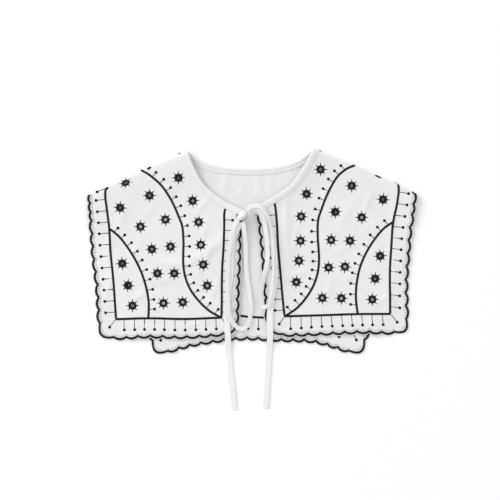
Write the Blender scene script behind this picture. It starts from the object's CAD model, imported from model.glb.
"""Looks of the detachable collar: shells of woven cotton, black embroidery, bound neck and narrow ties.

Shapes are worked out in millimetres in the laid plane of the cloth, where a point's third number is how far
it stands off the cloth's middle, and they are then laid on the cloth's surface in space.
"""

import math

import bpy
import numpy as np
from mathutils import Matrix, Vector
from mathutils.geometry import delaunay_2d_cdt

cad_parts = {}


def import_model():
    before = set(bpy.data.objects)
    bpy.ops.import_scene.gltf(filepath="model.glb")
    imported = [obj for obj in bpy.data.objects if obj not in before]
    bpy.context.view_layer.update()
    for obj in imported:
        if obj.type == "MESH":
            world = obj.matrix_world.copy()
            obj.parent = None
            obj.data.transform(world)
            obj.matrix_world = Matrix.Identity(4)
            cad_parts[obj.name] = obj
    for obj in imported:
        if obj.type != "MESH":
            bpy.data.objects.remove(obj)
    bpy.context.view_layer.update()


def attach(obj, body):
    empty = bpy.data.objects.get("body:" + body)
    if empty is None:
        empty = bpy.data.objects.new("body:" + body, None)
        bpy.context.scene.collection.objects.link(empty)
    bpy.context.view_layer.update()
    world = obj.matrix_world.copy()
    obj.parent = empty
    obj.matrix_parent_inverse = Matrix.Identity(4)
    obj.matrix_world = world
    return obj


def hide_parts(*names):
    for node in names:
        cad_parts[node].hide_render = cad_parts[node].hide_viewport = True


# The cloth's sizes and lay, as in the solids

MM = 0.001
CURVE_SAMPLES = 24
CENTRE = (0.34, 2.6)
CLOTH = 1.2
HALF = CLOTH / 2
LAYER_GAP = 0.6
FRONT_REST = HALF + CLOTH + LAYER_GAP
EDGE_RIM = 2.8
SCALLOP_DEPTH = 3.2
ROLL_TIP = 2.2
ROLL_NECK = 5.0
ROLL_FADE = 45.0
ROLL_EXTRA = math.pi / 2 - 1
FOLD_REACH = 38.0

# Side, the fold's end at the neck, its outer tip, and how far its middle bows out
SHOULDER_FOLDS = (
    ("left", (-93.1, 146.5), (-234.6, 83.2), 1.0),
    ("right", (89.9, 148.7), (237.0, 85.1), 2.2),
)
NECK_POINT = (93.1, 146.5)
FRONT_NECKLINE = ((13.0, 60.5), (36.8, 71.3), (67.9, 95.8), (79.8, 113.5), (88.6, 132.8), NECK_POINT)

# Stretch, its guide points, how many scallops it has and how deep they are
FRONT_EDGE = (
    ("side", ((231.3, 45.7), (229.4, 17.0), (227.4, -10.9), (222.6, -47.1), (219.5, -103.0)),
     8, SCALLOP_DEPTH),
    ("outer corner", ((219.5, -103.0), (199.4, -123.3)), 1, 10.6),
    ("hem", ((199.4, -123.3), (180.7, -123.0), (161.7, -121.0), (92.4, -121.8), (41.0, -117.6)),
     9, SCALLOP_DEPTH),
    ("inner corner", ((41.0, -117.6), (22.2, -102.4)), 1, 6.5),
    ("centre front", ((22.2, -102.4), (21.2, -52.3), (19.0, -1.3), (18.6, 52.0)), 9, 3.0),
)

# The sides above that, as they lie, from the tip of the fold down
UPPER_SIDES = {
    "left": (
        ("upper side", ((-233.8, 82.9), (-233.5, 73.2), (-232.7, 61.6), (-231.3, 45.7)), 3, 2.4),
    ),
    "right": (
        ("upper side", ((236.0, 85.0), (234.5, 73.4), (232.1, 54.7)), 2, 2.8),
    ),
}

# Column of eyelets, and the middle of each
EYELET_COLUMNS = (
    ("inner", ((105.7, 107.4), (85.1, 74.2), (76.6, 43.4), (73.4, 10.4), (70.0, -18.1), (64.1, -48.7))),
    ("beside the long curve", ((147.6, 81.8), (124.7, 47.0), (117.3, 7.8), (111.9, -30.9), (99.6, -72.8))),
    ("beside the short curve", ((190.1, 64.1), (160.8, 36.8), (144.3, 4.1), (136.2, -30.9), (127.5, -74.0))),
    ("outer corner", ((187.2, -16.7), (178.9, -48.4), (172.4, -77.7))),
)
FOLD_EYELET = (182.1, 99.9)

# The right front lies a little askew: a landmark of the left front, and where its mirror image lies
RIGHT_LAY = (
    ("neck point", (93.1, 146.5), (89.9, 148.7)),
    ("upper side", (231.3, 45.7), (232.1, 54.7)),
    ("outer corner of the side", (219.5, -103.0), (224.0, -97.0)),
    ("outer corner of the hem", (199.4, -123.3), (206.7, -115.5)),
    ("middle of the hem", (92.4, -121.7), (98.9, -117.0)),
    ("inner corner of the hem", (41.0, -117.6), (46.3, -118.9)),
    ("foot of the centre front", (22.2, -102.4), (23.9, -101.5)),
    ("middle of the centre front", (19.0, -1.3), (17.1, 4.0)),
    ("top of the centre front", (18.6, 52.0), (11.5, 57.5)),
    ("upper centre front", (18.8, 24.0), (15.6, 28.5)),
    ("top of the centre border", (37.6, 63.8), (33.1, 72.9)),
    ("upper centre border", (39.4, 40.6), (36.3, 47.5)),
    ("middle of the centre border", (41.6, -10.0), (39.4, -5.0)),
    ("neck corner", (13.0, 60.5), (13.5, 67.7)),
    ("middle of the neckline", (67.9, 95.8), (58.0, 97.5)),
    ("middle of the side", (229.5, 8.0), (227.5, 16.8)),
    ("top inner eyelet", (105.7, 107.4), (99.8, 119.3)),
    ("second inner eyelet", (85.1, 74.2), (79.6, 84.1)),
    ("third inner eyelet", (76.6, 43.4), (71.8, 51.5)),
    ("shoulder of the long curve", (132.5, 98.4), (126.0, 110.9)),
    ("upper long curve", (121.1, 83.3), (115.8, 95.3)),
    ("fourth eyelet by the short curve", (136.2, -30.9), (135.3, -21.3)),
    ("bottom eyelet of the corner", (172.4, -77.7), (175.0, -68.7)),
    ("top of the side border", (210.7, 75.8), (212.7, 86.6)),
    ("outer end of the short curve", (205.6, 33.8), (204.8, 43.5)),
    ("outer eyelet of the yoke", (190.1, 64.1), (190.4, 76.0)),
    ("middle eyelet of the yoke", (160.8, 36.8), (159.6, 50.2)),
    ("top eyelet by the long curve", (147.6, 81.8), (145.0, 95.8)),
    ("second eyelet by the long curve", (124.7, 47.0), (121.2, 58.0)),
    ("third eyelet by the short curve", (144.3, 4.1), (142.7, 16.4)),
    ("top eyelet of the corner", (187.2, -16.7), (186.3, -5.7)),
    ("head of the long curve", (157.3, 117.3), (146.6, 124.4)),
    ("middle of the long curve", (98.7, 20.0), (95.8, 27.0)),
    ("foot of the long curve", (43.6, -95.0), (47.9, -93.1)),
    ("middle of the short curve", (167.5, -12.6), (164.4, -4.4)),
    ("foot of the short curve", (149.4, -96.0), (153.8, -89.9)),
)

# The back, as it lies
BACK_NECKLINE = (
    (-93.1, 146.5), (-81.2, 134.3), (-66.4, 127.6), (-44.2, 122.4), (-14.6, 120.2),
    (14.9, 120.2), (44.5, 124.0), (66.8, 131.4), (80.0, 140.2), (89.9, 148.7),
)
BACK_EDGE = (
    ("right side", ((235.8, 81.8), (200.5, -22.0), (163.4, -127.5)), 12, SCALLOP_DEPTH),
    ("right corner", ((163.4, -127.5), (141.3, -142.8)), 1, 11.0),
    ("hem", ((141.3, -142.8), (109.2, -132.4), (94.1, -128.4), (78.6, -126.6), (41.0, -126.0), (10.9, -124.0),
             (-20.0, -123.8), (-51.9, -127.6), (-88.2, -133.6), (-103.7, -137.6), (-121.6, -143.2)), 16, 3.4),
    ("left corner", ((-121.6, -143.2), (-143.1, -128.3)), 1, 10.5),
    ("left side", ((-143.1, -128.3), (-187.0, -24.0), (-233.9, 80.0)), 12, SCALLOP_DEPTH),
)
# The largest folds, in the same columns as the creases below
FRONT_FOLDS = (
    (-60.0, 5.0, 35.0, 34.0, 7.0, 1.6),
    (-118.0, -22.0, 20.0, 40.0, 8.0, 1.4),
    (-190.0, 40.0, 62.0, 30.0, 7.0, 1.0),
    (52.0, 28.0, 92.0, 45.0, 6.0, 1.7),
    (136.0, 44.0, -40.0, 38.0, 8.0, 1.2),
    (196.0, -60.0, -65.0, 32.0, 7.0, 1.0),
)
# How far the fronts stand up at the neck and at the centre, and how they sink down beyond the back's edge
NECK_LIFT = 2.4
NECK_LIFT_REACH = 20.0
CENTRE_LIFT = 1.8
CENTRE_LIFT_REACH = 15.0
DROP_START = 4.0
DROP_LENGTH = 28.0
# The steps of the lines that those distances are measured from
COARSE_STEPS = {"back": 9.0, "neck": 8.0, "centre": 15.0}

# The ties: x, y, z and the turn of the tape about its own line, in degrees
LOOP_WIDTH = 6.4
TIE_WIDTH = 8.8
TAPE_THICKNESS = 1.4
TIE_STEP = 1.6
# The upper half of a tape's section, with stitched edges: shares of its width and thickness
TAPE_TOP = (
    (-0.5, 0.0), (-0.49, 0.26), (-0.45, 0.44), (-0.39, 0.5), (-0.34, 0.4), (-0.29, 0.46), (-0.1, 0.42),
    (0.1, 0.42), (0.29, 0.46), (0.34, 0.4), (0.39, 0.5), (0.45, 0.44), (0.49, 0.26), (0.5, 0.0),
)
TIE_RIGHT_ROOT = (
    (13.4, 64.1, 7.6, 0), (9.2, 62.9, 7.9, 0), (3.6, 63.4, 8.6, 5), (-3.4, 62.8, 9.3, 5),
    (-7.0, 61.9, 9.6, 0),
)
TIE_RIGHT_LOOP = (
    (-7.4, 60.4, 14.6, 0), (-1.5, 65.0, 15.4, 0), (4.4, 66.7, 15.7, 5), (10.2, 66.4, 15.4, 10),
    (15.7, 62.6, 14.6, 18), (20.4, 56.6, 13.4, 26), (23.9, 49.3, 12.3, 34), (27.3, 39.9, 11.4, 42),
    (30.9, 28.9, 10.8, 46), (32.9, 14.4, 10.3, 50), (33.1, 2.9, 10.0, 50), (33.5, -12.0, 9.8, 50),
    (33.3, -32.3, 9.9, 50), (32.4, -52.6, 9.7, 40), (29.4, -68.5, 9.1, 26), (24.6, -77.4, 8.6, 14),
    (18.8, -79.6, 8.0, 8), (15.2, -72.0, 7.6, -25), (14.4, -59.5, 7.4, -30), (16.2, -46.0, 7.6, -30),
    (18.9, -32.3, 7.6, -20), (22.4, -16.9, 7.4, -5), (23.4, 0.0, 7.2, 0), (22.4, 16.0, 7.9, 0),
    (20.3, 34.3, 9.0, 0), (18.6, 44.0, 9.9, 0), (16.4, 51.8, 11.4, 0), (12.8, 58.4, 12.8, 0),
    (7.4, 61.8, 13.3, 0), (1.8, 62.6, 13.4, 0), (-3.6, 60.8, 13.2, 0),
)
TIE_LEFT_LOOP = (
    (-20.2, 46.2, 10.6, 0), (-24.2, 39.2, 10.4, 0), (-26.6, 31.0, 10.2, 5), (-29.7, 17.4, 9.9, 10),
    (-32.0, 2.9, 9.5, 12), (-33.6, -11.6, 9.3, 12), (-34.3, -26.1, 9.1, 12), (-34.6, -47.9, 9.0, 12),
    (-34.2, -69.6, 9.0, 12), (-32.2, -89.0, 8.7, 15), (-28.0, -99.6, 8.2, 22), (-22.4, -107.3, 7.4, 20),
    (-17.0, -110.8, 6.6, 10), (-12.0, -111.2, 5.8, 0), (-7.5, -108.0, 5.1, -10), (-3.6, -101.0, 4.6, -15),
    (-1.4, -91.0, 4.3, -15), (-0.6, -81.0, 4.1, -12), (-1.9, -65.6, 4.0, -10), (-3.9, -51.1, 4.0, -10),
    (-6.2, -36.6, 4.1, -10), (-7.4, -22.1, 4.3, -10), (-8.0, -7.6, 4.6, -10), (-8.5, 8.9, 5.4, -10),
    (-9.6, 23.4, 7.0, -8), (-11.2, 37.5, 8.8, 0), (-12.2, 43.5, 9.4, 0),
)
TIE_LEFT_TAIL = (
    (-15.9, 43.4, 6.9, 0), (-20.5, 34.0, 6.6, 0), (-25.7, 24.2, 6.3, 0), (-28.3, 10.2, 6.2, 0),
    (-29.3, -4.4, 6.1, 0), (-30.2, -26.0, 6.0, 0), (-31.9, -47.9, 5.8, 0), (-33.6, -62.4, 5.6, 0),
    (-35.0, -80.0, 5.4, 0), (-35.3, -99.0, 5.3, 0), (-34.7, -114.0, 5.1, 0), (-34.2, -124.0, 4.3, 0),
    (-33.8, -132.0, 3.1, 0), (-33.3, -140.0, 1.8, 0), (-32.7, -149.0, 1.0, 0), (-31.4, -162.0, 1.0, 0),
    (-30.0, -179.0, 1.0, 0), (-27.8, -200.1, 1.0, 0), (-26.1, -214.6, 1.0, 0), (-24.6, -228.0, 1.0, 0),
)
TIE_RIGHT_TAIL = (
    (-6.3, 58.5, 11.4, 0), (-2.4, 60.7, 11.3, 0), (2.5, 61.6, 11.1, 0), (7.6, 60.4, 10.9, 0),
    (12.2, 57.2, 10.2, 0), (15.9, 51.4, 8.8, 0), (19.6, 43.0, 7.2, 0), (25.8, 28.0, 6.4, 0),
    (31.4, 8.0, 5.7, 0), (33.4, -14.0, 5.4, 0), (33.4, -36.0, 5.6, 0), (31.4, -56.0, 5.7, 0),
    (27.8, -76.0, 5.7, 0), (26.6, -91.2, 5.8, 0), (27.0, -110.0, 5.4, 0), (27.0, -121.0, 4.6, 0),
    (26.6, -131.0, 2.9, 0), (25.9, -141.0, 1.4, 0), (25.1, -151.0, 1.0, 0), (24.4, -163.3, 1.0, 0),
    (23.4, -181.0, 1.0, 0), (22.1, -200.0, 1.0, 0), (20.3, -225.8, 1.0, 0),
)
KNOT_MIDDLE = (-13.6, 53.2, 11.3)
KNOT_SIZE = (15.0, 8.4, 6.4)
KNOT_TURN = 46.0
KNOT_SOFTNESS = (2.0, 0.5, 0.3)
KNOT_ROWS = 33
KNOT_SIDES = 48

# Each cord: its rows, width, real length in metres and what is on its far end
TIES = (
    ("tie_left_loop", TIE_LEFT_LOOP, LOOP_WIDTH, 0.331, "knot"),
    ("tie_right_loop", TIE_RIGHT_LOOP, LOOP_WIDTH, 0.339, "knot"),
    ("tie_left_tail", TIE_LEFT_TAIL, TIE_WIDTH, 0.277, "bare"),
    ("tie_right_tail", TIE_RIGHT_TAIL, TIE_WIDTH, 0.31, "bare"),
)

# The shells: half their thickness, and how far they stand up so that the thread below has room
SHELL_HALF = 0.4
SHELL_LIFT = 0.2
SCALLOP_SEGMENTS = 10
HOLE_RADIUS = 2.6
HOLE_SIDES = 20
FRONT_GRID = 2.6
BACK_GRID = 3.4
EDGE_STEP = 2.5
ROLL_ROWS = 5
SLOPE_STEP = 0.2
SHARP_ANGLE = math.radians(50)
# As shares of the grid's pitch: between its rows, and clear of the edge, and of holes and rolls
ROW_PITCH = 0.87
EDGE_CLEAR = 0.45
INNER_CLEAR = 0.4
# How far the rows round a roll keep clear of the edge, and the share of a hole's radius that is cut
ROW_CLEAR = 0.4
HOLE_SHARE = 0.97

# How far from the fold the creases start, and how much they curl
CREASE_START = 14.0
CREASE_CURL = 0.0035
# Creases: x, y, direction in degrees, half length, half width and height, a trough where it is negative
FRONT_CREASES = {
    "left": (
        (-121, -16, -6, 22, 4.2, 1.35), (-128, -42, 9, 21, 5.0, 1.25), (-163, -64, 36, 15, 4.0, 1.15),
        (-125, 19, -22, 17, 5.0, 0.8), (-67, -14, 62, 20, 3.6, 1.0), (-70, 68, 52, 13, 3.2, 1.0),
        (-89, 66, -38, 17, 5.5, -0.4), (-150, 58, 40, 18, 5.0, 0.75), (-205, 12, 84, 26, 3.4, 0.75),
        (-207, -52, 75, 18, 3.2, 0.65), (-168, 4, 60, 15, 4.5, 0.75), (-112, -66, -12, 15, 4.4, 0.8),
        (-66, 36, 78, 16, 3.4, 0.75), (-52, -52, 70, 18, 3.6, 0.65), (-122, 88, 25, 15, 5.0, 0.65),
        (-90, -106, 14, 20, 3.4, 0.55), (-150, -107, -8, 18, 3.2, 0.55), (-96, 30, -30, 13, 4.6, -0.3),
        (-141, -27, 30, 12, 3.4, -0.35), (-100, -32, -15, 12, 3.0, 0.65), (-186, 58, 70, 16, 4.0, 0.75),
    ),
    "right": (
        (48, 30, 93, 34, 2.8, 1.1), (62, 14, 84, 30, 3.8, 1.0), (40, 34, 97, 24, 2.6, -0.35),
        (67, -31, 8, 16, 4.0, 1.0), (169, 74, 64, 14, 4.0, 1.1), (188, -70, 30, 16, 4.2, 1.15),
        (111, -59, 76, 14, 4.2, 0.85), (137, 55, 58, 19, 5.0, 0.95), (85, -6, -48, 14, 4.0, 0.75),
        (128, 2, 30, 18, 5.0, 0.75), (205, 40, 95, 24, 3.4, 0.75), (206, -24, 100, 19, 3.2, 0.75),
        (142, -36, 20, 16, 4.6, 0.8), (74, 76, -35, 14, 4.0, 0.85), (80, 44, 70, 15, 4.4, -0.35),
        (66, -66, -20, 15, 3.4, 0.75), (120, -105, 6, 20, 3.4, 0.55), (176, -104, -12, 14, 3.2, 0.65),
        (163, 30, -30, 14, 4.6, 0.65), (112, 88, 40, 17, 5.0, 0.75), (190, 4, 50, 13, 3.6, -0.35),
    ),
}
BACK_CREASES = (
    (-38, 100, 80, 15, 3.8, 0.9), (-62, 112, 60, 12, 3.6, 0.6), (11, 102, 96, 16, 3.0, 0.8),
    (28, 106, 74, 13, 2.8, 0.7), (-14, 92, 70, 14, 3.4, 0.5), (56, 116, 110, 11, 3.2, 0.6),
    (-5, 6, 92, 46, 3.0, 0.7), (2, -58, 86, 26, 2.6, 0.6), (-1, -104, 60, 12, 3.0, 0.5),
    (-120, 60, 30, 26, 6.0, 0.25), (-160, 30, 70, 22, 5.0, 0.25), (-90, -40, 95, 30, 5.0, 0.25),
    (90, -30, 85, 30, 5.0, 0.25), (130, 50, 40, 24, 5.0, 0.25), (150, -60, 60, 22, 4.0, 0.25),
    (-130, -129, 20, 12, 3.0, 0.4), (60, -126, -10, 16, 2.6, 0.35), (-70, -127, 12, 14, 2.6, 0.35),
    (128, -130, -20, 12, 3.0, 0.4), (-120, -80, 50, 18, 4.0, 0.25), (40, 60, 80, 20, 4.0, 0.25),
)

# Sections of thread: share of the width and of the rise, and for single stitches the lift in millimetres
RIBBON_PROFILE = ((-0.5, -0.35), (-0.44, 0.55), (-0.2, 1.0), (0.2, 1.0), (0.44, 0.55), (0.5, -0.35))
BLUNTNESS = 0.12
SPIKE_PROFILE = ((-0.5, -0.1), (0.0, 0.36), (0.5, -0.1))
# Along a single stitch: the share of its length, and how far it narrows there
SPIKE_ROWS = ((0.0, 1.0), (0.5, 1.0), (0.9, 1.0), (1.0, 0.5))
# How far the thread of the undersides keeps off the surface
FLOOR_GAP = 0.04

# The embroidery, in a front's own plane: x outward, y towards the neck
LINE_WIDTH = 3.5
LINE_RISE = 0.5
LINE_STEP = 1.4
SCALLOP_LINE_WIDTH = 3.5
BORDERS = (
    ("side", ((206.9, 93.2), (210.2, 91.2), (211.4, 87.4), (209.5, 62.9), (205.9, 33.4), (204.3, 1.5),
              (200.4, -37.7), (196.3, -97.4))),
    ("hem", ((197.4, -97.4), (148.9, -96.0), (96.4, -97.0), (42.6, -95.0))),
    ("centre front", ((37.6, 63.8), (39.2, 56.6), (39.4, 40.6), (40.5, 6.4), (42.5, -24.7), (43.2, -81.2),
                      (43.6, -95.0))),
    ("long curve", ((161.0, 118.6), (157.3, 117.2), (150.5, 113.4), (144.1, 108.8), (131.2, 97.2),
                    (122.5, 85.6), (113.4, 69.8), (105.3, 50.8), (100.8, 39.2), (98.7, 20.0),
                    (98.6, -20.3), (95.7, -37.0), (88.0, -55.1), (75.7, -71.6), (61.6, -84.8),
                    (44.2, -95.0))),
    ("short curve", ((205.6, 33.8), (192.7, 23.2), (179.5, 6.8), (167.5, -12.6), (158.2, -32.9),
                     (152.1, -53.2), (148.9, -73.7), (149.4, -96.0))),
)

# Rows of pins: the line's middle dots, how many, how long the stems are and which hand they stand on
PIN_STEM_WIDTH = 1.25
PIN_DOT_RADIUS = 2.15
DOT_SIDES = 12
# The step of the line that pins are placed on, and how many steps each way its direction is read over
PIN_GUIDE_STEP = 0.5
PIN_SLOPE = 2
DOT_PROFILE = ((PIN_DOT_RADIUS, -0.2), (PIN_DOT_RADIUS, 0.25), (PIN_DOT_RADIUS * 0.75, 0.62),
               (PIN_DOT_RADIUS * 0.3, 0.8))
FOLD_DOT_PROFILE = ((PIN_DOT_RADIUS, -0.2), (PIN_DOT_RADIUS * 0.75, 0.6), (0.5, 0.8))
PIN_ROWS = (
    ("side", ((210.7, 77.2), (208.0, 52.0), (204.3, 1.5), (200.8, -37.7), (197.0, -88.0)), 11, 14.4, 1),
    ("hem", ((185.7, -96.9), (148.9, -96.0), (96.4, -97.0), (50.6, -95.4)), 10, 16.0, 1),
    ("centre front", ((38.6, 47.6), (40.3, 12.0), (42.6, -24.7), (43.3, -88.0)), 10, 11.5, -1),
    ("long curve", ((144.6, 109.4), (131.2, 97.2), (122.5, 85.6), (113.4, 69.8), (105.3, 50.8), (98.7, 20.0),
                    (98.6, -20.3), (95.7, -37.0), (88.0, -55.1), (75.7, -71.6), (53.0, -90.4)), 17, 8.7, -1),
    ("short curve", ((200.3, 29.6), (179.5, 6.8), (167.5, -12.6), (158.2, -32.9), (152.1, -53.2),
                     (149.0, -84.4)), 10, 8.7, -1),
)
LOOSE_PINS = (
    ("outer corner", (197.0, -97.8), (205.6, -108.8)),
    ("inner corner", (43.0, -96.0), (36.2, -104.6)),
)
FOLD_PINS = ((104.7, 143.4),)
# Pins and lines that only the left front's fold shows
LEFT_FOLD_PINS = (((212.0, 91.6), (223.4, 87.0)),)
LEFT_FOLD_STROKES = (((151.0, 119.6), (145.0, 123.0)), ((18.9, 50.5), (20.3, 52.5), (17.5, 57.7)))
# The edge of a star and the end of the scallops' line, as they lie on the right front's fold
RIGHT_FOLD_STROKES = (((178.6, 110.9), (187.6, 106.9)), ((231.4, 86.8), (234.4, 85.4), (236.4, 83.2)))
FOLD_STAR_SQUASH = 0.72
FOLD_WRAP = 0.6

# Ticks and satin along the scallops
TICKS = 5
CORNER_TICKS = 9
TICK_LENGTH = 4.2
TICK_WIDTH = 1.0
# How far ticks start inside the line, as a share of its width, how much they fan out, and their taper
TICK_SINK = 0.4
TICK_FAN = 1.2
TICK_TAPER = 0.8
SATIN_WIDTH = 3.4
SATIN_INSET = 0.42
SATIN_RISE = 0.2
RIM_WIDTH = 0.8

# The stars; a ring whose last radius is smaller than the limit is closed
CLOSED_BELOW = 1.0
RING_RADIUS = 6.2
RING_SIDES = 32
# Each step of the bound ring: a radius and a lift
RING_PROFILE = ((RING_RADIUS, -0.2), (RING_RADIUS - 0.25, 0.35), (4.6, 0.52), (3.5, 0.52), (2.75, 0.3))
RAY_START = RING_RADIUS - 0.4
RAY_REACH = 9.9
RAY_DIFFERENCE = 0.4
RAY_WIDTHS = (2.2, 0.95)
RAYS = 8
# How far the stars turn from each other at most, in radians, and how that changes from one to the next
STAR_TURN = 0.08
STAR_TURN_PACE = 2.1
# How far each star's hole is left open, column by column; the left's last is the fold's star
STAR_HOLES = {
    "left": (1.8, 2.0, 2.3, 2.6, 2.4, 2.2, 2.2, 2.3, 2.3, 2.2, 2.4, 1.8, 2.3, 1.7, 2.2, 2.35, 1.4, 2.0, 2.0,
             2.5),
    "right": (2.2, 2.0, 2.4, 2.3, 2.3, 2.1, 2.3, 2.1, 2.4, 2.2, 2.3, 1.7, 2.2, 2.0, 2.3, 2.2, 1.6, 1.8, 2.0),
}

# The back's own lines, as they lie
BACK_BORDERS = (
    ("left side", ((-211.6, 94.0), (-211.3, 89.9), (-188.0, 36.0), (-164.5, -16.0), (-124.0, -112.5))),
    ("hem", ((-125.0, -113.0), (-88.0, -105.0), (-52.0, -98.0), (-17.0, -92.6), (-5.4, -93.8),
             (18.4, -95.1), (94.1, -97.4), (144.0, -110.4))),
    ("right side", ((212.8, 94.6), (212.6, 90.8), (195.0, 36.0), (178.5, -15.0), (143.0, -110.0))),
    ("left curve", ((-161.0, 119.4), (-157.3, 117.5), (-140.0, 92.0), (-122.0, 58.0), (-110.0, 18.0),
                    (-104.0, -22.0), (-92.0, -58.0), (-70.0, -101.5))),
    ("right curve", ((150.0, 125.6), (146.6, 124.2), (135.2, 94.0), (120.0, 58.0), (109.0, 18.0),
                     (103.0, -22.0), (92.0, -60.0), (74.0, -96.8))),
)
BACK_PIN_ROWS = (
    ("hem", ((-110.0, -109.6), (-52.0, -98.0), (-17.0, -92.6), (-6.5, -93.6), (20.9, -95.1), (94.1, -97.4),
             (132.0, -106.8)), 17, 17.0, -1),
    ("left side", ((-208.0, 82.0), (-188.0, 36.0), (-164.5, -16.0), (-128.0, -102.0)), 12, 14.0, -1),
    ("right side", ((209.6, 82.0), (195.0, 36.0), (178.5, -15.0), (146.0, -101.0)), 12, 14.0, 1),
    ("left curve", ((-152.0, 110.0), (-140.0, 92.0), (-122.0, 58.0), (-110.0, 18.0), (-104.0, -22.0),
                    (-92.0, -58.0), (-75.0, -92.0)), 15, 8.7, 1),
    ("right curve", ((145.0, 112.0), (136.0, 94.0), (120.0, 58.0), (109.0, 18.0), (103.0, -22.0),
                     (92.0, -60.0), (78.0, -88.0)), 15, 8.7, -1),
)
BACK_LOOSE_PINS = (
    ("left corner", (-125.0, -114.0), (-131.6, -128.0)),
    ("right corner", (144.0, -111.0), (152.0, -127.4)),
)

# The neck binding's section: how far in from the cloth's edge, and how far off the cloth's middle
FRONT_BINDING = (
    (-0.9, -0.3), (-1.25, 0.2), (-1.2, 0.9), (-0.8, 1.45), (0.0, 1.75), (1.4, 1.82), (3.2, 1.78), (4.8, 1.7),
    (5.6, 1.5), (6.1, 1.28), (6.6, 1.5), (7.3, 1.56), (7.9, 1.3), (8.1, 0.62),
)
BACK_BINDING = (
    (-0.9, -0.3), (-1.25, 0.2), (-1.2, 0.9), (-0.8, 1.45), (0.0, 1.75), (1.4, 1.82), (2.9, 1.78), (3.8, 1.4),
    (4.3, 1.22), (4.8, 1.42), (5.6, 1.62), (6.8, 1.6), (7.4, 1.3), (7.8, 1.2), (8.3, 1.3), (8.7, 1.2),
    (8.9, 0.62),
)
BINDING_STEP = 1.6
FRONT_STITCH_ROWS = ((6.1, 1.3),)
BACK_STITCH_ROWS = ((4.3, 1.24), (7.7, 1.22))
PUCKER_REACH = 8.0
STITCH_LENGTH = 2.1
STITCH_GAP = 0.8
STITCH_WIDTH = 0.42
STITCH_RISE = 0.22

# How deep the relief between threads is, in metres
THREAD_DEPTH = 0.0003

# The light, the surface and the camera

FLOOR_REACH = 4.0
CAMERA_HEIGHT = 2.42
CAMERA_LENS = 120.0
CAMERA_REACH = 50.0
PHOTO_WIDTH = 0.725
PHOTO_MIDDLE = (-0.0025, 0.0003)
WORLD_LIGHT = 0.885
WORLD_COLOUR = (0.96, 0.98, 1.0, 1)
KEY_PLACE = (-5.7, 4.5, 3.2)
KEY_SIZE = 4.0
KEY_POWER = 375.0
KEY_COLOUR = (1.0, 0.99, 0.97)


def smooth_curve(guide, step=1.0):
    """Points about one step apart along a smooth curve through the guide points."""
    guide = np.array(guide, float)
    ends = np.vstack([2 * guide[0] - guide[1], guide, 2 * guide[-1] - guide[-2]])
    points = []
    for index in range(len(guide) - 1):
        before, start, end, after = ends[index:index + 4]
        share = np.linspace(0, 1, CURVE_SAMPLES, endpoint=False)[:, None]
        chord = end - start
        length = np.linalg.norm(chord)
        lean_in = chord * 0.5 + (start - before) * length / (2 * np.linalg.norm(start - before))
        lean_out = chord * 0.5 + (after - end) * length / (2 * np.linalg.norm(after - end))
        points.append(
            (2 * share ** 3 - 3 * share ** 2 + 1) * start + (share ** 3 - 2 * share ** 2 + share) * lean_in
            + (-2 * share ** 3 + 3 * share ** 2) * end + (share ** 3 - share ** 2) * lean_out)
    dense = np.vstack(points + [guide[-1:]])
    run = run_along(dense)
    count = max(1, round(run[-1] / step))
    places = np.linspace(0, run[-1], count + 1)
    return np.column_stack([np.interp(places, run, dense[:, axis]) for axis in range(guide.shape[1])])


def run_along(line):
    """How far along a line each of its points is."""
    return np.concatenate([[0], np.cumsum(np.linalg.norm(np.diff(line, axis=0), axis=1))])


def units(rows):
    """Each row as a unit vector."""
    return rows / np.linalg.norm(rows, axis=1)[:, None]


def level(first, value):
    """Coordinates on the cloth: the first ones given, the second the same all along."""
    return np.column_stack([first, np.full(len(first), value)])


def circle(sides):
    """The angles of a circle's points, and the points."""
    angles = np.arange(sides) * 2 * math.pi / sides
    return angles, np.column_stack([np.cos(angles), np.sin(angles)])


def strip_faces(rows, sides):
    """The faces of a strip of rows of points."""
    return [(start, start + sides, start + sides + 1, start + 1)
            for row in range(rows - 1) for start in range(row * sides, (row + 1) * sides - 1)]


def round_faces(rows, sides):
    """The faces round rows of points, open at both ends."""
    faces = []
    for first in range(0, (rows - 1) * sides, sides):
        for side in range(sides):
            start = first + side
            end = first + (side + 1) % sides
            faces.append((start, end, end + sides, start + sides))
    return faces


def end_faces(rows, sides):
    """The faces that close both ends of rows of points."""
    return [tuple(range(sides))[::-1], tuple(range((rows - 1) * sides, rows * sides))]


def even_points(guide, count):
    """That many points evenly spaced along the curve through the guide points."""
    dense = smooth_curve(guide)
    return dense[np.linspace(0, len(dense) - 1, count).round().astype(int)]


def outward(chord):
    """The unit vector to the left of a direction in the plane."""
    return np.array([-chord[1], chord[0]]) / np.linalg.norm(chord)


def plate_kernel(distance):
    """The thin plate spline's kernel."""
    return distance ** 2 * np.log(distance + 1e-9)


def right_lay(points):
    """Where points of the mirrored left front lie on the right front."""
    before = np.array([row[1] for row in RIGHT_LAY])
    after = np.array([row[2] for row in RIGHT_LAY])
    count = len(before)
    spread = plate_kernel(np.linalg.norm(before[:, None] - before[None], axis=2))
    flat = np.column_stack([np.ones(count), before])
    system = np.block([[spread, flat], [flat.T, np.zeros((3, 3))]])
    weights = np.linalg.solve(system, np.vstack([after, np.zeros((3, 2))]))
    points = np.atleast_2d(points)
    near = plate_kernel(np.linalg.norm(points[:, None] - before[None], axis=2))
    return np.column_stack([near, np.ones(len(points)), points]) @ weights


def left_lay(points):
    """Where points of the left front lie, with x to the right."""
    return np.atleast_2d(points) * (-1, 1)


def as_laid(points):
    """Points that are given as they lie."""
    return np.atleast_2d(np.array(points, float))


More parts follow.
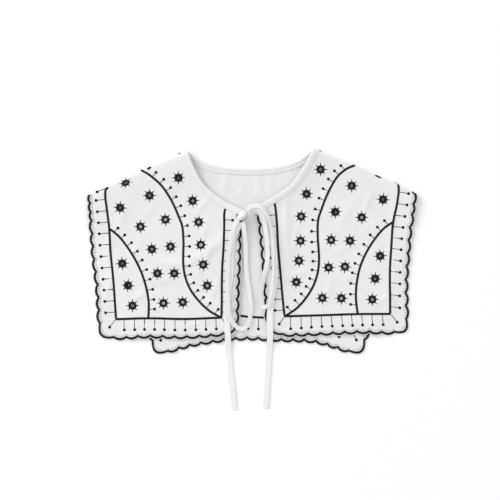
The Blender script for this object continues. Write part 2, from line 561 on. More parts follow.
class Fold:
    """A shoulder fold: where it lies and how large its roll is."""

    def __init__(self, neck_point, tip, bow):
        self.start = np.array(neck_point, float)
        self.bow = bow
        line = np.array(tip, float) - self.start
        self.length = np.linalg.norm(line)
        self.along = line / self.length
        across = outward(line)
        self.across = across if across[1] < 0 else -across

    def bow_at(self, run):
        """How far the fold bows out from its chord."""
        share = np.clip(run / self.length, 0, 1)
        return self.bow * 4 * share * (1 - share)

    def split(self, points):
        """How far points lie along the fold from the neck, and in from it."""
        offset = points - self.start
        run = offset @ self.along
        return run, offset @ self.across + self.bow_at(run)

    def radius(self, run):
        """The roll's radius at the cloth's middle, larger towards the neck."""
        return ROLL_TIP + (ROLL_NECK - ROLL_TIP) * np.exp(-np.maximum(run, 0) / ROLL_FADE)

    def at(self, run, depth):
        """The point of the laid plane at that run along the fold and depth in from it."""
        run = np.atleast_1d(run)[:, None]
        depth = np.atleast_1d(depth)[:, None] - self.bow_at(run)
        return self.start + self.along * run + self.across * depth

    def top(self):
        """The outermost line's end at the neck."""
        return self.edge(0, self.length)[:1]

    def edge(self, turn, step):
        """A row of points along the roll, turned that far in radians from its outermost line."""
        run = np.linspace(0, self.length, round(self.length / step) + 1)
        return self.at(run, (turn - ROLL_EXTRA) * self.radius(run))


FOLDS = {side: Fold(start, tip, bow) for side, start, tip, bow in SHOULDER_FOLDS}
LAYS = {"left": left_lay, "right": right_lay}
HANDS = {"left": -1, "right": 1}


def scallop_cusps(stretches, hand):
    """Each scallop of an edge: its cusps, the way out from the cloth, its depth and its stretch's name."""
    scallops = []
    for name, guide, count, depth in stretches:
        cusps = even_points(guide, count + 1)
        for start, end in zip(cusps[:-1], cusps[1:]):
            scallops.append((start, end, outward(end - start) * hand, depth, name))
    return scallops


def scallop_line(scallops, offset):
    """The line along an edge's scallops at that distance out from their cusps."""
    line = []
    for start, end, side, depth, _ in scallops:
        for share in np.arange(SCALLOP_SEGMENTS) / SCALLOP_SEGMENTS:
            line.append(start + (end - start) * share + side * (offset + depth * 4 * share * (1 - share)))
    line.append(scallops[-1][1] + scallops[-1][2] * offset)
    return np.array(line)


def polyline_distance(points, line):
    """How far each point is from an open polyline."""
    best = np.full(len(points), np.inf)
    for start, end in zip(line[:-1], line[1:]):
        chord = end - start
        share = np.clip((points - start) @ chord / (chord @ chord), 0, 1)
        best = np.minimum(best, np.linalg.norm(points - (start + share[:, None] * chord), axis=1))
    return best


def is_inside(points, outline):
    """Which points lie inside a closed outline."""
    inside = np.zeros(len(points), bool)
    for start, end in zip(outline, np.roll(outline, -1, axis=0)):
        crosses = (start[1] > points[:, 1]) != (end[1] > points[:, 1])
        rise = end[1] - start[1]
        reach = start[0] + (points[:, 1] - start[1]) * (end[0] - start[0]) / (rise if rise else 1)
        inside ^= crosses & (points[:, 0] < reach)
    return inside


def square_to(line):
    """The unit vectors to the left of a line at its points."""
    chords = np.gradient(line, axis=0)
    return units(np.column_stack([-chords[:, 1], chords[:, 0]]))


def smooth_step(share):
    """From 0 to 1 with level ends."""
    share = np.clip(share, 0, 1)
    return share * share * (3 - 2 * share)


def back_neckline(step):
    """The back's neckline in the laid plane, from the left fold to the right one."""
    return smooth_curve(np.vstack([FOLDS["left"].top(), BACK_NECKLINE, FOLDS["right"].top()]), step)


def back_outline(step):
    """The back's outline in the laid plane, round from the left neck point."""
    left, right = FOLDS["left"], FOLDS["right"]
    edge = scallop_line(scallop_cusps(BACK_EDGE, 1), EDGE_RIM)
    return np.vstack([back_neckline(step), right.edge(0, step)[1:], edge, left.edge(0, step)[:0:-1]])


COARSE_BACK = back_outline(COARSE_STEPS["back"])
BACK_SCALLOPS = scallop_cusps(BACK_EDGE, 1)


def front_neckline(side, step):
    """The front's neckline in the laid plane, from the centre front to the fold."""
    return smooth_curve(np.vstack([LAYS[side](FRONT_NECKLINE), FOLDS[side].top()]), step)


def front_edge(side):
    """The stretches of a front's scalloped edge as they lie, from the fold's tip round to the neck corner."""
    lay = LAYS[side]
    lower = tuple((name, lay(guide), count, depth) for name, guide, count, depth in FRONT_EDGE)
    return UPPER_SIDES[side] + lower


def crease_height(points, rows, curl):
    """How high the folds or creases in the rows stand at the points. Their lines curl to one side."""
    height = np.zeros(len(points))
    for x, y, direction, half_length, half_width, rise in rows:
        angle = math.radians(direction)
        offset = points - (x, y)
        along = offset @ (math.cos(angle), math.sin(angle))
        across = offset @ (-math.sin(angle), math.cos(angle)) + curl * along ** 2 * math.copysign(1, x + y)
        height += rise * np.exp(-(along / half_length) ** 2 - (across / half_width) ** 2)
    return height


def front_height(side, points):
    """The height of the middle of a front's cloth over the laid plane, beyond its shoulder roll."""
    fold = FOLDS[side]
    run, depth = fold.split(points)
    radius = fold.radius(run)
    closed = np.vstack([COARSE_BACK, COARSE_BACK[:1]])
    beyond = np.where(is_inside(points, COARSE_BACK), 0.0, polyline_distance(points, closed))
    rest = FRONT_REST - (FRONT_REST - HALF) * smooth_step((beyond - DROP_START) / DROP_LENGTH)
    roll_share = np.exp(-(np.maximum(depth - radius, 0) / FOLD_REACH) ** 2)
    height = rest + (HALF + 2 * radius - rest) * roll_share
    free = 1 - roll_share
    neck = polyline_distance(points, front_neckline(side, COARSE_STEPS["neck"]))
    centre = polyline_distance(points, LAYS[side](smooth_curve(FRONT_EDGE[-1][1], COARSE_STEPS["centre"])))
    height = height + NECK_LIFT * free * np.exp(-(neck / NECK_LIFT_REACH) ** 2)
    height = height + CENTRE_LIFT * free * np.exp(-(centre / CENTRE_LIFT_REACH) ** 2)
    loose = smooth_step((depth - radius) / CREASE_START)
    return (height + free * crease_height(points, FRONT_FOLDS, 0)
            + loose * crease_height(points, FRONT_CREASES[side], CREASE_CURL))


def front_surface(side, points):
    """The middle of a front's cloth in space. Points beyond the fold's outermost line go round the roll."""
    fold = FOLDS[side]
    run, depth = fold.split(points)
    radius = fold.radius(run)
    turn = np.clip(depth / radius + ROLL_EXTRA, -math.pi / 2, math.pi / 2)
    rolled = depth < radius
    depth_laid = np.where(rolled, radius * (1 - np.cos(turn)), depth)
    height = np.where(rolled, HALF + radius * (1 + np.sin(turn)), front_height(side, points))
    return np.column_stack([fold.at(run, depth_laid), height])


def back_surface(points):
    """The middle of the back's cloth in space."""
    height = HALF + crease_height(points, BACK_CREASES, CREASE_CURL)
    place = np.column_stack([points, height])
    for fold in FOLDS.values():
        run, depth = fold.split(points)
        radius = fold.radius(run)
        turn = np.clip(depth / radius + ROLL_EXTRA, 0, math.pi / 2)
        rolled = depth < radius
        laid = fold.at(run, radius * (1 - np.cos(turn)))
        place[rolled, :2] = laid[rolled]
        place[rolled, 2] = (HALF + radius * (1 - np.sin(turn)))[rolled]
    return place


class Cloth:
    """A stretch of the cloth, which things are laid on. At its folds its shell is on the roll's outside."""

    def __init__(self, surface, folds=()):
        self.surface = surface
        self.folds = folds

    def shift(self, points):
        """How far the shell stands off the cloth's middle."""
        shift = np.full(len(points), SHELL_LIFT)
        for fold in self.folds:
            run, depth = fold.split(points)
            share = smooth_step(depth / fold.radius(run) + ROLL_EXTRA)
            shift = np.minimum(shift, SHELL_LIFT * (2 * share - 1))
        return shift

    def normals(self, points):
        """The cloth's normals, up where it lies flat."""
        slopes = [self.surface(points + step) - self.surface(points - step)
                  for step in (np.array([SLOPE_STEP, 0]), np.array([0, SLOPE_STEP]))]
        return units(np.cross(*slopes))

    def place(self, flat, lift):
        """Points in space over points of the laid plane, each lifted off the shell's middle."""
        return self.surface(flat) + self.normals(flat) * (lift + self.shift(flat))[:, None]


CLOTHS = {
    "left": Cloth(lambda points: front_surface("left", points)),
    "right": Cloth(lambda points: front_surface("right", points)),
    "back": Cloth(back_surface, tuple(FOLDS.values())),
}


def link(name, data):
    """A new object with the data, in the scene."""
    piece = bpy.data.objects.new(name, data)
    bpy.context.scene.collection.objects.link(piece)
    return piece


def make_object(name, vertices, faces, material, coordinates):
    """A named object from vertices in millimetres, riding on the collar, with coordinates in millimetres."""
    mesh = bpy.data.meshes.new(name)
    shifted = (np.asarray(vertices) - (CENTRE[0], CENTRE[1], 0)) * MM
    mesh.from_pydata(shifted.tolist(), [], [list(map(int, face)) for face in faces])
    layer = mesh.uv_layers.new(name="Flat")
    corners = np.empty(len(mesh.loops), np.int32)
    mesh.loops.foreach_get("vertex_index", corners)
    layer.data.foreach_set("uv", np.asarray(coordinates, float)[corners].astype(np.float32).ravel())
    piece = link(name, mesh)
    mesh.materials.append(material)
    mesh.shade_smooth()
    mesh.set_sharp_from_angle(angle=SHARP_ANGLE)
    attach(piece, "root")
    return piece


def roll_rows(fold):
    """Rows of points round a fold's roll."""
    return [fold.edge(math.pi / 2 * index / ROLL_ROWS, EDGE_STEP) for index in range(1, ROLL_ROWS + 1)]


def cloth_shell(name, cloth, outline, holes, rows, grid, material):
    """A thin shell of cloth inside the outline and outside the holes."""
    loops = [outline] + holes
    points = [Vector(point) for loop in loops for point in loop]
    edges = []
    for loop in loops:
        first = len(edges)
        edges += [(first + index, first + (index + 1) % len(loop)) for index in range(len(loop))]
    low = outline.min(axis=0)
    high = outline.max(axis=0)
    across, up = np.meshgrid(np.arange(low[0], high[0], grid), np.arange(low[1], high[1], grid * ROW_PITCH))
    across = across + (np.arange(len(across)) % 2)[:, None] * grid / 2
    inner = np.column_stack([across.ravel(), up.ravel()])
    keep = is_inside(inner, outline)
    closed = np.vstack([outline, outline[:1]])
    keep &= polyline_distance(inner, closed) > grid * EDGE_CLEAR
    for hole in holes:
        keep &= np.linalg.norm(inner - hole.mean(axis=0), axis=1) > HOLE_RADIUS + grid * INNER_CLEAR
    for fold in FOLDS.values():
        run, depth = fold.split(inner)
        keep &= (depth > fold.radius(run) + grid * INNER_CLEAR) | (run < -grid)
    kept = [inner[keep]]
    for row in rows:
        inside = is_inside(row, outline)
        inside &= polyline_distance(row, closed) > ROW_CLEAR
        kept.append(row[inside])
    points += [Vector(point) for point in np.vstack(kept)]
    vertices, _, triangles, _, _, _ = delaunay_2d_cdt(points, edges, [], 0, 1e-6)
    flat = np.array([tuple(vertex) for vertex in vertices])
    triangles = np.array(triangles)
    centres = flat[triangles].mean(axis=1)
    keep = is_inside(centres, outline)
    for hole in holes:
        keep &= np.linalg.norm(centres - hole.mean(axis=0), axis=1) > HOLE_RADIUS * HOLE_SHARE
    triangles = triangles[keep]
    used = np.unique(triangles)
    triangles = np.searchsorted(used, triangles)
    flat = flat[used]
    count = len(flat)
    faces = [tuple(face) for face in triangles]
    faces += [tuple(face[::-1] + count) for face in triangles]
    sides = {(face[index], face[(index + 1) % 3]) for face in triangles.tolist() for index in range(3)}
    faces += [(start, start + count, end + count, end) for start, end in sides if (end, start) not in sides]
    walls = [cloth.place(flat, np.full(count, half)) for half in (SHELL_HALF, -SHELL_HALF)]
    return make_object(name, np.vstack(walls), faces, material, np.vstack([flat, flat]))


class Stitching:
    """Raised shapes of thread in the laid plane, gathered for one joined mesh."""

    def __init__(self, cloth, face=1):
        self.cloth = cloth
        self.face = face
        self.flat = []
        self.lift = []
        self.coordinates = []
        self.faces = []
        self.count = 0

    def add(self, flat, lift, coordinates, faces):
        """Add points with their lifts off the shell's face and thread coordinates, and faces over them."""
        self.flat.append(flat)
        self.lift.append(lift)
        self.coordinates.append(coordinates)
        self.faces += [tuple(np.array(face) + self.count) for face in faces]
        self.count += len(flat)

    def ribbon(self, line, width, rise, base=0.0):
        """A domed ribbon of thread along a line of points."""
        across = square_to(line)
        run = run_along(line)
        near_end = np.minimum(run, run[-1] - run) / (width / 2)
        share = np.sqrt(np.clip(1 - (1 - np.clip(near_end, BLUNTNESS, 1)) ** 2, 0, 1))
        sides = len(RIBBON_PROFILE)
        flat = [line + across * (width * offset * share)[:, None] for offset, _ in RIBBON_PROFILE]
        lift = [base + rise * height * share for _, height in RIBBON_PROFILE]
        thread = [level(run, width * offset) for offset, _ in RIBBON_PROFILE]
        faces = strip_faces(len(line), sides) + [face[::-1] for face in end_faces(len(line), sides)]
        self.add(np.stack(flat, axis=1).reshape(-1, 2), np.stack(lift, axis=1).ravel(),
                 np.stack(thread, axis=1).reshape(-1, 2), faces)

    def ring(self, middle, profile, sides=RING_SIDES):
        """A turned shape round a middle: each step of the profile is a radius and a lift."""
        angles, points = circle(sides)
        flat = [middle + points * radius for radius, _ in profile]
        lift = [np.full(sides, height) for _, height in profile]
        thread = [level(angles * RING_RADIUS, radius) for radius, _ in profile]
        faces = round_faces(len(profile), sides)
        if profile[-1][0] < CLOSED_BELOW:
            faces.append(end_faces(len(profile), sides)[1])
        self.add(np.vstack(flat), np.concatenate(lift), np.vstack(thread), faces)

    def star(self, middle, turn, hole, across=None):
        """An eyelet's bound ring, left open as far as the hole, with rays of single stitches.

        A star on a fold is drawn together across it.
        """
        first = len(self.flat)
        self.ring(middle, RING_PROFILE + ((hole, -0.1), (hole, -0.7)))
        for ray in range(RAYS):
            angle = turn + ray * 2 * math.pi / RAYS
            direction = np.array([math.cos(angle), math.sin(angle)])
            reach = RAY_REACH - RAY_DIFFERENCE * (ray % 2)
            self.spike(middle + direction * RAY_START, middle + direction * reach, *RAY_WIDTHS)
        if across is not None:
            for index in range(first, len(self.flat)):
                offset = (self.flat[index] - middle) @ across
                self.flat[index] = self.flat[index] - np.outer(offset, across) * (1 - FOLD_STAR_SQUASH)

    def spike(self, start, end, start_width, end_width):
        """A single straight stitch that narrows."""
        chord = end - start
        across = outward(chord)
        flat = []
        lift = []
        for share, narrowing in SPIKE_ROWS:
            width = (start_width + (end_width - start_width) * share) * narrowing
            for offset, height in SPIKE_PROFILE:
                flat.append(start + chord * share + across * width * offset)
                lift.append(height)
        flat = np.array(flat)
        run = (flat - start) @ (chord / np.linalg.norm(chord))
        self.add(flat, np.array(lift), np.column_stack([(flat - start) @ across, run]),
                 strip_faces(len(SPIKE_ROWS), len(SPIKE_PROFILE)))

    def pin(self, start, end):
        """A thin stem with a round knot of thread on its end."""
        self.spike(start, end, PIN_STEM_WIDTH, PIN_STEM_WIDTH)
        self.ring(end, DOT_PROFILE, DOT_SIDES)

    def build(self, name, material):
        """The joined mesh on the cloth."""
        flat = np.vstack(self.flat)
        lift = np.concatenate(self.lift)
        place = self.cloth.place(flat, self.face * (SHELL_HALF + lift))
        if self.face < 0:
            place[:, 2] = np.maximum(place[:, 2], FLOOR_GAP)
        faces = self.faces if self.face > 0 else [face[::-1] for face in self.faces]
        return make_object(name, place, [face[::-1] for face in faces], material, np.vstack(self.coordinates))


def laid_line(lay, guide):
    """A line of points through the laid guide points."""
    return smooth_curve(lay(guide), LINE_STEP)


def on_front(side, points):
    """Which laid points are on a front, or a little way round its fold."""
    run, depth = FOLDS[side].split(points)
    return depth > -(ROLL_EXTRA + FOLD_WRAP) * FOLDS[side].radius(run)


def add_lines(stitching, lay, lines, side=None):
    """Satin lines. On a front they stop a little way round the fold."""
    for _, guide in lines:
        line = laid_line(lay, guide)
        if side is not None:
            line = line[on_front(side, line)]
        stitching.ribbon(line, LINE_WIDTH, LINE_RISE)


def add_scallops(stitching, scallops):
    """The satin line round the scallops, and the ticks inside it."""
    stitching.ribbon(scallop_line(scallops, 0.0), SCALLOP_LINE_WIDTH, LINE_RISE)
    for index, (start, end, side, depth, name) in enumerate(scallops):
        count = CORNER_TICKS if "corner" in name else TICKS
        for tick in range(count):
            share = (tick + 0.75) / (count + 0.5)
            rise = depth * 4 * share * (1 - share) - SCALLOP_LINE_WIDTH * TICK_SINK
            foot = start + (end - start) * share + side * rise
            lean = (end - start) / np.linalg.norm(end - start) * (share - 0.5) * TICK_FAN
            length = TICK_LENGTH * (0.85 + 0.3 * ((tick * 7 + index * 3) % 5) / 5)
            stitching.spike(foot, foot - (side - lean * 0.5) * length, TICK_WIDTH, TICK_WIDTH * TICK_TAPER)


def pins_along(lay, guide, count, length, hand):
    """Where a row of pins starts and ends: even along the line, square to it on one hand."""
    dense = smooth_curve(guide, PIN_GUIDE_STEP)
    places = np.linspace(PIN_SLOPE, len(dense) - 1 - PIN_SLOPE, count).round().astype(int)
    rows = []
    for place in places:
        side = outward(dense[place + PIN_SLOPE] - dense[place - PIN_SLOPE]) * hand
        start, end = lay(np.array([dense[place], dense[place] + side * length]))
        rows.append((start, end))
    return rows


def front_embroidery(side, scallops, stitching):
    """All the black thread on one face of a front."""
    lay = LAYS[side]
    add_lines(stitching, lay, BORDERS, side)
    add_scallops(stitching, scallops)
    for _, guide, count, length, hand in PIN_ROWS:
        for start, end in pins_along(lay, guide, count, length, hand):
            if on_front(side, np.array([start, end])).all():
                stitching.pin(start, end)
    if side == "right":
        for guide in RIGHT_FOLD_STROKES:
            stitching.ribbon(laid_line(as_laid, guide), RAY_WIDTHS[0], LINE_RISE)
    if side == "left":
        for start, end in LEFT_FOLD_PINS:
            stitching.pin(*lay(np.array([start, end])))
        for guide in LEFT_FOLD_STROKES:
            stitching.ribbon(laid_line(lay, guide), SCALLOP_LINE_WIDTH, LINE_RISE)
    for _, start, end in LOOSE_PINS:
        stitching.pin(*lay(np.array([start, end])))
    for middle in lay(np.array(FOLD_PINS)):
        stitching.ring(middle, FOLD_DOT_PROFILE, DOT_SIDES)
    for index, middle in enumerate(star_middles(side)):
        on_fold = index == sum(len(column) for _, column in EYELET_COLUMNS)
        stitching.star(middle, STAR_TURN * math.sin(index * STAR_TURN_PACE), STAR_HOLES[side][index],
                       FOLDS[side].across if on_fold else None)


def star_middles(side):
    """The middles of a front's stars. The one at the shoulder is on the left front only."""
    middles = [LAYS[side](column) for _, column in EYELET_COLUMNS]
    if side == "left":
        middles.append(LAYS[side](FOLD_EYELET))
    return np.vstack(middles)


def back_embroidery(stitching):
    """All the black thread on one face of the back."""
    add_lines(stitching, as_laid, BACK_BORDERS)
    add_scallops(stitching, BACK_SCALLOPS)
    for _, guide, count, length, hand in BACK_PIN_ROWS:
        for start, end in pins_along(as_laid, guide, count, length, hand):
            stitching.pin(start, end)
    for _, start, end in BACK_LOOSE_PINS:
        stitching.pin(np.array(start), np.array(end))


def white_satin(name, cloth, scallops, face, material):
    """The band of white stitches inside the scalloped line."""
    stitching = Stitching(cloth, face)
    inside = -SCALLOP_LINE_WIDTH / 2 - SATIN_WIDTH * SATIN_INSET
    stitching.ribbon(scallop_line(scallops, inside), SATIN_WIDTH, SATIN_RISE)
    stitching.ribbon(scallop_line(scallops, EDGE_RIM - RIM_WIDTH / 2), RIM_WIDTH, SATIN_RISE)
    return stitching.build(name, material)


def binding(name, cloth, line, hand, section, stitch_rows, material, thread):
    """The bound edge of the neck, with its rows of stitches."""
    inward = square_to(line) * hand
    run = run_along(line)
    pucker = 0.06 * np.sin(run / 2.9) * np.sin(run / 17.0 + 1.0) + 0.05 * np.sin(run / 7.3 + 2.0)
    sides = len(section)
    rings = []
    thread_coordinates = []
    for depth, lift in section:
        free = 1.0 if 0 < depth < PUCKER_REACH else 0.0
        heights = lift - SHELL_LIFT + pucker * free
        rings.append(cloth.place(line + inward * depth, heights))
        thread_coordinates.append(level(run, depth))
    vertices = np.stack(rings, axis=1).reshape(-1, 3)
    coordinates = np.stack(thread_coordinates, axis=1).reshape(-1, 2)
    faces = round_faces(len(line), sides) + end_faces(len(line), sides)
    if hand < 0:
        faces = [face[::-1] for face in faces]
    band = make_object(name, vertices, faces, material, coordinates)
    stitching = Stitching(cloth)
    for depth, lift in stitch_rows:
        row = line + inward * depth
        lengths = run_along(row)
        place = STITCH_GAP
        while place + STITCH_LENGTH < lengths[-1]:
            spots = np.linspace(place, place + STITCH_LENGTH, 5)
            stitch = np.column_stack([np.interp(spots, lengths, row[:, axis]) for axis in range(2)])
            stitching.ribbon(stitch, STITCH_WIDTH, STITCH_RISE, base=lift - SHELL_HALF - SHELL_LIFT)
            place += STITCH_LENGTH + STITCH_GAP
    return band, stitching.build(name + "_stitches", thread)


def tie_tape(name, rows, width, material):
    """A flat tie: a folded tape with stitched edges, soft and a little uneven, and its path in metres."""
    line = smooth_curve(rows, TIE_STEP)
    middle = line[:, :3]
    tangent = units(np.gradient(middle, axis=0))
    across = units(np.cross(tangent, (0, 0, 1)))
    up = np.cross(across, tangent)
    run = run_along(middle)
    turn = np.radians(line[:, 3])[:, None]
    wide = across * np.cos(turn) + up * np.sin(turn)
    thick = up * np.cos(turn) - across * np.sin(turn)
    spread = width * (1 + 0.03 * np.sin(run / 9.0) + 0.02 * np.sin(run / 4.1 + 1.3))[:, None]
    profile = TAPE_TOP + tuple((a, -b) for a, b in TAPE_TOP[-2:0:-1])
    sides = len(profile)
    vertices = np.stack([middle + wide * spread * a + thick * TAPE_THICKNESS * b for a, b in profile], axis=1)
    coordinates = np.stack([level(run, width * a) for a, _ in profile], axis=1)
    faces = round_faces(len(line), sides) + end_faces(len(line), sides)
    piece = make_object(name + "_tape", vertices.reshape(-1, 3), faces, material, coordinates.reshape(-1, 2))
    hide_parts(name)
    return piece, ((middle - (CENTRE[0], CENTRE[1], 0)) * MM).tolist()


def knot_wrap(material):
    """The bow's knot: a soft lump with the tie wrapped over it in three ridges."""
    rings = []
    tilts = np.linspace(-math.pi / 2, math.pi / 2, KNOT_ROWS)[1:-1]
    angles, flat = circle(KNOT_SIDES)
    middle = np.array(KNOT_MIDDLE)
    half = np.array(KNOT_SIZE) / 2 + KNOT_SOFTNESS
    slant = math.radians(KNOT_TURN)
    cosine, sine = math.cos(slant), math.sin(slant)
    turned = np.array([[cosine, sine, 0], [-sine, cosine, 0], [0, 0, 1]])
    coordinates = []
    for tilt in tilts:
        direction = level(math.cos(tilt) * flat, math.sin(tilt))
        soft = np.sign(direction) * np.abs(direction) ** 0.8
        lean = direction[:, 1] + 0.35 * direction[:, 0]
        ridges = 0.07 * np.cos(lean * 7.4 + 0.9) + 0.03 * np.sin(direction[:, 0] * 4 + direction[:, 2] * 3)
        rings.append(middle + (soft * half * (0.95 + ridges[:, None])) @ turned)
        coordinates.append(level(angles * 6, tilt * 5))
    faces = round_faces(len(tilts), KNOT_SIDES) + end_faces(len(tilts), KNOT_SIDES)
    piece = make_object("tie_knot_wrap", np.vstack(rings), faces, material, np.vstack(coordinates))
    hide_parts("tie_knot")
    return piece


class Nodes:
    """A material's node tree under construction."""

    def __init__(self, name):
        self.material = bpy.data.materials.new(name)
        self.material.use_nodes = True
        self.tree = self.material.node_tree
        self.shader = self.tree.nodes["Principled BSDF"]

    def add(self, kind, inputs=None, **settings):
        """A node with settings, and inputs that are numbers or other nodes' sockets."""
        node = self.tree.nodes.new(kind)
        for key, value in settings.items():
            setattr(node, key, value)
        for key, value in (inputs or {}).items():
            if isinstance(value, bpy.types.NodeSocket):
                self.tree.links.new(value, node.inputs[key])
            else:
                node.inputs[key].default_value = value
        return node

    def math(self, operation, first, second=0.0):
        """A sum, product or other value of two sockets or numbers."""
        return self.add("ShaderNodeMath", {0: first, 1: second}, operation=operation).outputs[0]

    def weighted(self, first, first_share, second, second_share):
        """The sum of two sockets, each times its share."""
        return self.math("ADD", self.math("MULTIPLY", first, first_share),
                         self.math("MULTIPLY", second, second_share))

    def noise(self, place, scale, detail):
        """Noise over a place."""
        return self.add("ShaderNodeTexNoise", {"Vector": place, "Scale": scale, "Detail": detail}).outputs[0]

    def ramp(self, share, start, end):
        """A colour between two, by the share."""
        node = self.add("ShaderNodeMix", {"Factor": share}, data_type="RGBA")
        node.inputs["A"].default_value = start
        node.inputs["B"].default_value = end
        return node.outputs["Result"]

    def finish(self, colour, roughness, height, strength, distance):
        """Join colour, roughness and bump to the shader."""
        bump = self.add("ShaderNodeBump", {"Height": height, "Strength": strength, "Distance": distance})
        self.tree.links.new(colour, self.shader.inputs["Base Color"])
        if isinstance(roughness, bpy.types.NodeSocket):
            self.tree.links.new(roughness, self.shader.inputs["Roughness"])
        else:
            self.shader.inputs["Roughness"].default_value = roughness
        self.tree.links.new(bump.outputs["Normal"], self.shader.inputs["Normal"])
        return self.material


def woven(name, light, dark, pitch, relief, sheen):
    """Plain woven cotton: warp and weft over and under each other, with slubs and soft patches."""
    nodes = Nodes(name)
    place = nodes.add("ShaderNodeUVMap", uv_map="Flat").outputs["UV"]
    split = nodes.add("ShaderNodeSeparateXYZ", {0: place})
    waver = nodes.noise(place, 0.09, 3.0)
    slub = nodes.noise(place, 0.9, 2.0)
    turn = 2 * math.pi / pitch
    warp = nodes.math("SINE", nodes.weighted(split.outputs["X"], turn, slub, 1.6))
    weft = nodes.math("SINE", nodes.weighted(split.outputs["Y"], turn, slub, 1.6))
    weave = nodes.math("MULTIPLY", warp, weft)
    height = nodes.weighted(weave, 0.5, slub, 0.8)
    colour = nodes.ramp(nodes.weighted(waver, 0.75, weave, 0.16), dark, light)
    rough = nodes.math("ADD", nodes.math("MULTIPLY", slub, 0.12), 0.76)
    nodes.shader.inputs["Sheen Weight"].default_value = sheen
    nodes.shader.inputs["Sheen Roughness"].default_value = 0.45
    nodes.shader.inputs["Specular IOR Level"].default_value = 0.25
    return nodes.finish(colour, rough, height, relief, THREAD_DEPTH)


def thread(name, light, dark, pitch, relief, roughness, sheen):
    """Satin stitches side by side across a line, each a single thread."""
    nodes = Nodes(name)
    place = nodes.add("ShaderNodeUVMap", uv_map="Flat").outputs["UV"]
    split = nodes.add("ShaderNodeSeparateXYZ", {0: place})
    waver = nodes.noise(place, 0.7, 2.0)
    slanted = nodes.math("ADD", split.outputs["X"], nodes.math("MULTIPLY", split.outputs["Y"], 0.35))
    ribs = nodes.math("SINE", nodes.weighted(slanted, 2 * math.pi / pitch, waver, 1.4))
    colour = nodes.ramp(nodes.weighted(ribs, 0.3, waver, 0.8), dark, light)
    nodes.shader.inputs["Sheen Weight"].default_value = sheen
    nodes.shader.inputs["Specular IOR Level"].default_value = 0.2
    return nodes.finish(colour, roughness, ribs, relief, THREAD_DEPTH)


def pale_floor():
    """The plain pale floor's material, with the faintest unevenness."""
    nodes = Nodes("floor_paper")
    grain = nodes.noise(nodes.add("ShaderNodeTexCoord").outputs["Object"], 60.0, 2.0)
    colour = nodes.ramp(grain, (0.93, 0.93, 0.93, 1), (0.95, 0.95, 0.95, 1))
    nodes.shader.inputs["Specular IOR Level"].default_value = 0.1
    return nodes.finish(colour, 0.9, grain, 0.02, 0.0005)


def key_lamp():
    """A square soft lamp, high up behind the left shoulder and aimed at the collar."""
    data = bpy.data.lights.new("key", "AREA")
    data.shape = "SQUARE"
    data.size = KEY_SIZE
    data.energy = KEY_POWER
    data.color = KEY_COLOUR
    piece = link("key", data)
    piece.location = KEY_PLACE
    piece.rotation_euler = (-Vector(KEY_PLACE)).to_track_quat("-Z", "Y").to_euler()


def camera():
    """The camera, straight above."""
    data = bpy.data.cameras.new("camera")
    data.lens = CAMERA_LENS
    data.sensor_width = 2 * CAMERA_LENS * (PHOTO_WIDTH / 2) / CAMERA_HEIGHT
    data.clip_end = CAMERA_REACH
    piece = link("camera", data)
    piece.location = (PHOTO_MIDDLE[0], PHOTO_MIDDLE[1], CAMERA_HEIGHT)
    bpy.context.scene.camera = piece


def studio():
    """The floor, the lamp and the pale surroundings."""
    mesh = bpy.data.meshes.new("floor")
    corners = ((-1, -1), (1, -1), (1, 1), (-1, 1))
    mesh.from_pydata([(x * FLOOR_REACH, y * FLOOR_REACH, 0) for x, y in corners], [], [(0, 1, 2, 3)])
    mesh.materials.append(pale_floor())
    link("floor", mesh)
    world = bpy.data.worlds.new("pale studio")
    bpy.context.scene.world = world
    world.use_nodes = True
    background = world.node_tree.nodes["Background"]
    background.inputs["Color"].default_value = WORLD_COLOUR
    background.inputs["Strength"].default_value = WORLD_LIGHT
    key_lamp()
    bpy.context.scene.view_settings.view_transform = "Standard"
    bpy.context.scene.view_settings.look = "None"


def ties(material):
    """The bow, as cords, with the knot on one and the short stretch from the neck on the other."""
    carried = {
        "tie_left_loop": [knot_wrap(material)],
        "tie_right_loop": [tie_tape("tie_right_root", TIE_RIGHT_ROOT, LOOP_WIDTH, material)[0]],
    }
    for name, rows, width, length, far_end in TIES:
        piece, path = tie_tape(name, rows, width, material)


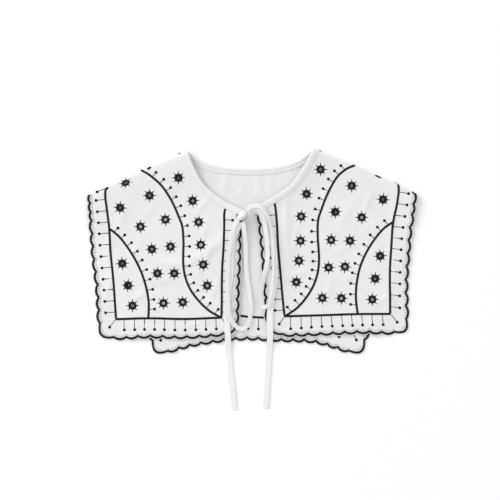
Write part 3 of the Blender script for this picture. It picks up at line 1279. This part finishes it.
def dress(name, cloth, embroider, scallops, neckline, hand, section, stitch_rows, materials):
    """Put thread, the satin edge and the neck's binding on both faces of a stretch's shell, and give them."""
    cotton, black, white = materials
    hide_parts(name)
    carried = []
    for face, suffix in ((1, ""), (-1, "_under")):
        stitching = Stitching(cloth, face)
        embroider(stitching)
        piece = stitching.build(name + "_embroidery" + suffix, black)
        carried.append(piece)
        piece = white_satin(name + "_satin" + suffix, cloth, scallops, face, white)
        carried.append(piece)
    place = name.replace("front_", "")
    pieces = binding("neck_binding_" + place, cloth, neckline, hand, section, stitch_rows, cotton, white)
    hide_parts("neck_band_" + place)
    for piece in pieces:
        carried.append(piece)
    return carried


def front(side, materials):
    """A front with its thread and binding."""
    name = "front_" + side
    fold = FOLDS[side]
    cloth = CLOTHS[side]
    scallops = scallop_cusps(front_edge(side), HANDS[side])
    outline = np.vstack([front_neckline(side, EDGE_STEP), fold.edge(0, EDGE_STEP)[1:],
                         scallop_line(scallops, EDGE_RIM)])
    holes = [middle + circle(HOLE_SIDES)[1] * HOLE_RADIUS for middle in star_middles(side)]
    shell = cloth_shell(name + "_cloth", cloth, outline, holes, roll_rows(fold), FRONT_GRID, materials[0])
    carried = dress(name, cloth, lambda stitching: front_embroidery(side, scallops, stitching),
                    scallops, front_neckline(side, BINDING_STEP), -HANDS[side], FRONT_BINDING,
                    FRONT_STITCH_ROWS, materials)


def back(materials):
    """The back with its thread and binding."""
    cloth = CLOTHS["back"]
    rows = [row for fold in FOLDS.values() for row in roll_rows(fold)]
    shell = cloth_shell("back_cloth", cloth, back_outline(EDGE_STEP), [], rows, BACK_GRID, materials[0])
    carried = dress("back", cloth, back_embroidery, BACK_SCALLOPS, back_neckline(BINDING_STEP), -1,
                    BACK_BINDING, BACK_STITCH_ROWS, materials)


def main():
    """Dress the collar."""
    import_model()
    camera()
    cotton = woven("woven_cotton", (0.86, 0.86, 0.85, 1), (0.765, 0.765, 0.755, 1),
                   pitch=0.62, relief=0.35, sheen=0.12)
    tie_cotton = woven("tie_cotton_twill", (0.89, 0.89, 0.87, 1), (0.82, 0.82, 0.80, 1),
                       pitch=0.5, relief=0.3, sheen=0.15)
    white = thread("white_stitches", (0.86, 0.86, 0.85, 1), (0.76, 0.76, 0.75, 1),
                   pitch=0.55, relief=0.5, roughness=0.6, sheen=0.15)
    black = thread("black_stitches", (0.016, 0.016, 0.018, 1), (0.004, 0.004, 0.005, 1),
                   pitch=0.5, relief=0.4, roughness=0.6, sheen=0.0)
    ties(tie_cotton)
    materials = (cotton, black, white)
    back(materials)
    for side in FOLDS:
        front(side, materials)
    studio()


main()
